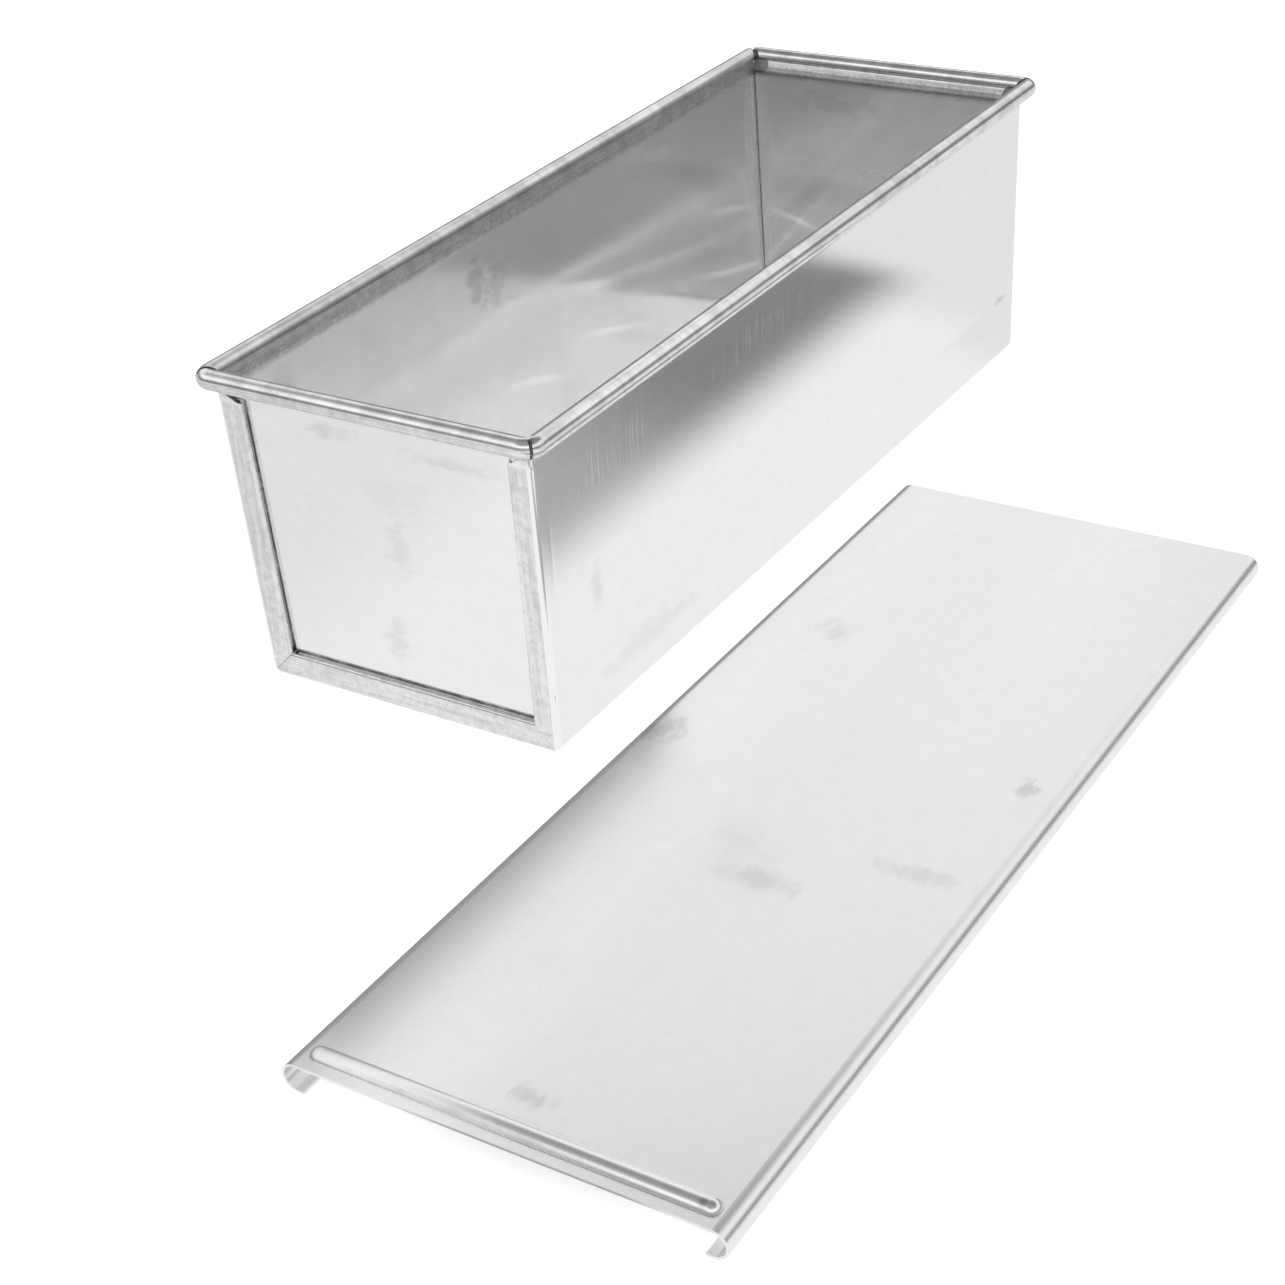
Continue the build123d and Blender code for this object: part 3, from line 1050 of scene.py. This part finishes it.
@dataclass
class Pan:
    """The pan: trough, end plates and rim wire."""

    trough_finish: SheetFinish = field(default_factory=lambda: SheetFinish(
        "trough_sheet", (0.0, 1.0, 0.0), (1.0, 0.0, 1.0), strip_marks=True,
        marks=(
            # Stains inside the left wall
            Mark((-49.56, -29.0, 74.0), (0.6, 6.0, 10.0), 0.45, 0.5, 0.9),
            Mark((-49.47, -20.0, 70.0), (0.6, 8.0, 9.0), 0.5, 0.35, 0.9),
            Mark((-49.56, -120.0, 74.0), (0.6, 8.0, 18.0), 0.55, 0.45, 0.2),
            # Stains outside on the right wall
            Mark((49.16, 132.3, 21.9), (0.6, 6.0, 2.0), 0.45, 0.5, 0.5),
            Mark((49.54, -120.0, 40.0), (0.6, 4.0, 9.0), 0.6, 0.35, 0.9),
            Mark((48.95, -95.0, 12.0), (0.6, 30.0, 6.0), 0.7, 0.3, 0.9),
            # Scrapes under the rim on the right wall
            Mark((50.26, -108.0, 74.0), (0.9, 34.0, 17.0), 0.95, 0.35, 0.4, Wear.SCRAPES),
            Mark((50.3, -30.0, 76.0), (0.9, 50.0, 9.0), 0.95, 0.25, 0.5, Wear.SCRAPES),
            # Rougher inner corners at the left wall's ends, slightly lighter as a painted reflection
            Mark((-49.0, 138.8, 45.0), (5.0, 4.0, 90.0), 0.95, 0.45, 0.1, Wear.RUB),
            Mark((-49.0, -138.8, 45.0), (5.0, 4.0, 90.0), 0.95, 0.45, 0.1, Wear.RUB),
        ),
        creases=(
            # Dents inside the left wall, of which the last is high up
            Crease((-48.6, -22.0, 37.0), (-48.5, 18.0, 25.5), 1.0, 1.5, 0.11, 5.0),
            Crease((-48.7, 18.0, 38.0), (-48.5, 68.0, 23.5), 1.0, 1.5, 0.11, 5.0),
            Crease((-49.3, -30.0, 67.0), (-48.7, 160.0, 34.0), -4.0, 3.0, 0.10, 4.0),
            Crease((-48.6, 85.0, 33.0), (-48.4, 155.0, 17.0), -1.5, 1.8, 0.10, 4.0),
            Crease((-48.8, 50.0, 43.0), (-48.4, 120.0, 15.0), 2.0, 2.0, 0.06, 4.0),
            Crease((-49.8, 48.0, 87.0), (-49.7, 100.0, 79.0), -1.0, 2.4, 0.05, 3.0),
            # The edge where each strip is folded back
            Crease((48.5, 138.3, 6.0), (49.9, 139.4, 86.0), 0.0, 0.8, 0.05, 0.0, True),
        )))
    end_finish: SheetFinish = field(default_factory=lambda: SheetFinish(
        "end_plate_sheet", (1.0, 0.0, 0.0), (0.0, 0.0, 1.0), roughness=0.13, rim_inside_darkening=0.85, seam_shade=True,
        marks=(
            # Inside of the rear panel
            Mark((-2.5, 141.36, 55.0), (8.0, 0.6, 4.0), 0.95, 0.8, 1.0, Wear.RUB),
            Mark((-18.0, 141.88, 80.0), (20.0, 0.6, 6.0), 0.6, 0.35, 0.9),
            Mark((-22.0, 141.21, 48.0), (22.0, 0.6, 7.0), 0.55, 0.3, 0.3),
            # Outside of the front panel
            Mark((2.2, -141.95, 50.0), (5.0, 0.6, 14.0), 0.6, 0.3, 0.9),
            Mark((-3.0, -141.32, 20.0), (6.0, 0.6, 9.0), 0.6, 0.3, 0.9),
            Mark((-16.0, -142.63, 82.0), (10.0, 0.6, 3.0), 0.55, 0.4, 0.9),
            Mark((25.0, -142.58, 80.0), (18.0, 0.6, 3.0), 0.6, 0.35, 0.9),
            # Rougher inner corner at the rear left, slightly lighter as a painted reflection, and the front panel's
            # middle
            Mark((-47.5, 141.0, 45.0), (5.0, 4.0, 90.0), 0.95, 0.5, 0.1, Wear.RUB),
            Mark((3.0, -142.29, 66.0), (14.0, 0.6, 8.0), 0.7, 0.2, 1.0),
        ),
        creases=(
            # The seam's edge pressed through the panels, and a dent at the rear left
            Crease((43.4, 140.5, 6.0), (44.6, 142.4, 86.0), 0.0, 0.8, 0.06, 0.0, True),
            Crease((-48.0, 141.0, 40.0), (-20.0, 140.9, 32.0), 1.0, 1.6, 0.07, 4.0),
        )))
    wire_finish: WireFinish = field(default_factory=WireFinish)

    def dress(self, nodes: Nodes, effects: SheetEffects) -> None:
        """Gives the pan's nodes their finishes.

        Args:
            nodes: The CAD nodes by name.
            effects: The shared node groups.
        """
        cover(nodes["trough"], self.trough_finish.make(effects))
        ends = self.end_finish.make(effects)
        for name in ("front_end_plate", "rear_end_plate"):
            cover(nodes[name], ends)
        cover(nodes["rim_wire"], self.wire_finish.make(effects))


@dataclass
class Lid:
    """The lid with its rolled channels and its rib."""

    finish: SheetFinish = field(default_factory=lambda: SheetFinish(
        "lid_sheet", (0.0, 1.0, 0.0), (1.0, 0.0, 0.0), roughness=0.27, buckle_depth=0.35 * MM, rim_marks=False,
        marks=(
            # Stains on the flat of the lid
            Mark((74.0, -130.0, 8.0), (9.0, 8.0, 9.0), 0.5, 0.4, 0.9),
            Mark((130.0, -176.0, 8.0), (14.0, 6.0, 9.0), 0.62, 0.5, 0.5),
            Mark((161.0, -158.0, 8.0), (16.0, 5.0, 9.0), 0.62, 0.4, 0.8),
            Mark((170.0, -115.0, 8.0), (5.0, 5.0, 9.0), 0.5, 0.5, 0.9),
            Mark((124.0, -265.0, 8.0), (8.0, 4.0, 9.0), 0.5, 0.4, 1.0),
            Mark((91.0, -67.0, 8.0), (7.0, 7.0, 9.0), 0.6, 0.35, 0.9),
            # Painted shade at the rib's right end, and painted dark reflections along both its sides
            Mark((172.5, -276.0, 8.0), (1.6, 1.6, 3.0), 0.25, 0.8, 0.4),
            Mark((124.3, -271.6, 9.5), (70.0, 1.3, 2.0), 0.22, 0.8, 0.2),
            Mark((124.3, -277.4, 9.5), (70.0, 1.1, 2.0), 0.25, 0.7, 0.2),
            # Painted shade in the open front ends of the channels
            Mark((72.5, -281.5, 4.0), (4.5, 4.0, 4.5), 0.2, 0.8, 0.2),
            Mark((176.0, -281.5, 4.0), (4.5, 4.0, 4.5), 0.2, 0.8, 0.2),
        ),
        creases=(
            # Lines pressed along the channels
            Crease((173.0, -300.0, 9.3), (173.0, 40.0, 9.3), 0.0, 0.6, 0.03),
            Crease((75.0, -300.0, 9.3), (75.0, 40.0, 9.3), 0.0, 0.6, 0.02),
        )))

    def dress(self, nodes: Nodes, effects: SheetEffects) -> None:
        """Gives the lid its finish.

        Args:
            nodes: The CAD nodes by name.
            effects: The shared node groups.
        """
        cover(nodes["lid"], self.finish.make(effects))


class Corner(Enum):
    """The pan's corners, as the signs of X and Y there."""

    REAR_RIGHT = (1, 1)
    REAR_LEFT = (-1, 1)
    FRONT_RIGHT = (1, -1)
    FRONT_LEFT = (-1, -1)


@dataclass
class CornerFolds:
    """The folds of sheet that close the notches in the end panels under the rim, in millimetres, painted near-black
    as the shade in those notches.

    Each fold stands at its reach along the pan, from foot to knee, and then follows the panel's step out and up.
    """

    inner: float = 44.2
    outer: float = 50.3
    reach: float = 142.41
    foot: float = 87.5
    knee: float = 88.55
    rises: tuple[tuple[float, float], ...] = ((2.325, 2.85), (0.0, 0.9))
    thickness: float = 0.4
    bend: float = 0.5
    bend_segments: int = 3
    bend_angle: float = 0.35
    smooth_angle: float = 0.6
    # The folds' near-black sheet is painted shade in the notches under the rim.
    finish: SheetFinish = field(default_factory=lambda: SheetFinish(
        "corner_fold_sheet", (1.0, 0.0, 0.0), (0.0, 0.0, 1.0), tint=(0.2, 0.2, 0.2), dull=(0.08, 0.08, 0.08),
        roughness=0.35, buckle_scale=260.0, buckle_depth=0.6 * MM, rim_marks=False))

    def build(self, effects: SheetEffects) -> None:
        """Builds the fold in each corner.

        Args:
            effects: The shared node groups.
        """
        material = self.finish.make(effects)
        for corner in Corner:
            fold = self._fold(corner)
            fold.name = f"corner_fold_{corner.name.lower()}"
            fold.data.name = fold.name
            cover(fold, material)
            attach(fold, "pan")

    def _fold(self, corner: Corner) -> bpy.types.Object:
        """Models one fold: an upright strip whose upper edge is drawn up along the step under the rim.

        Args:
            corner: The corner that it stands in.

        Returns:
            The fold.
        """
        side, end = corner.value
        middle = Vector((side * (self.inner + self.outer) / 2, end * self.reach, (self.foot + self.knee) / 2)) * MM
        bpy.ops.mesh.primitive_plane_add(size=1.0, location=middle, rotation=(math.pi / 2, 0.0, 0.0))
        fold = bpy.context.object
        fold.scale = ((self.outer - self.inner) * MM, (self.knee - self.foot) * MM, 1.0)
        bpy.ops.object.transform_apply(location=True, rotation=True, scale=True)
        mesh = fold.data
        for vertex in mesh.vertices:
            vertex.select = vertex.co.z > middle.z
        for edge in mesh.edges:
            edge.select = all(mesh.vertices[each].select for each in edge.vertices)
        for face in mesh.polygons:
            face.select = False
        bpy.ops.object.mode_set(mode="EDIT")
        for out, up in self.rises:
            bpy.ops.mesh.extrude_region_move(TRANSFORM_OT_translate={"value": (0.0, end * out * MM, up * MM)})
        bpy.ops.object.mode_set(mode="OBJECT")
        bends = fold.modifiers.new("bends", "BEVEL")
        bends.width = self.bend * MM
        bends.segments = self.bend_segments
        bends.limit_method = "ANGLE"
        bends.angle_limit = self.bend_angle
        gauge = fold.modifiers.new("gauge", "SOLIDIFY")
        gauge.thickness = self.thickness * MM
        gauge.offset = 0.0
        for modifier in ("bends", "gauge"):
            bpy.ops.object.modifier_apply(modifier=modifier)
        bpy.ops.object.mode_set(mode="EDIT")
        bpy.ops.mesh.select_all(action="SELECT")
        bpy.ops.mesh.normals_make_consistent(inside=False)
        bpy.ops.object.mode_set(mode="OBJECT")
        bpy.ops.object.shade_smooth_by_angle(angle=self.smooth_angle)
        fold.select_set(False)
        return fold


def cover(piece: bpy.types.Object, material: bpy.types.Material) -> None:
    """Gives a piece one material.

    Args:
        piece: The piece.
        material: Its new material.
    """
    slots = piece.data.materials
    if slots:
        for index in range(len(slots)):
            slots[index] = material
    else:
        slots.append(material)
    LOG.info("dressed %s", piece.name)


def main(nodes: Nodes) -> None:
    """Builds the studio, dresses the pan and its lid, and adds the pan's corner folds.

    Args:
        nodes: The CAD nodes by name.
    """
    logging.basicConfig(level=logging.INFO, format="%(message)s")
    bpy.ops.object.select_all(action="DESELECT")
    effects = SheetEffects()
    Studio().build()
    Pan().dress(nodes, effects)
    CornerFolds().build(effects)
    Lid().dress(nodes, effects)


if __name__ == "__main__":
    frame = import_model()
    main(frame["nodes"])
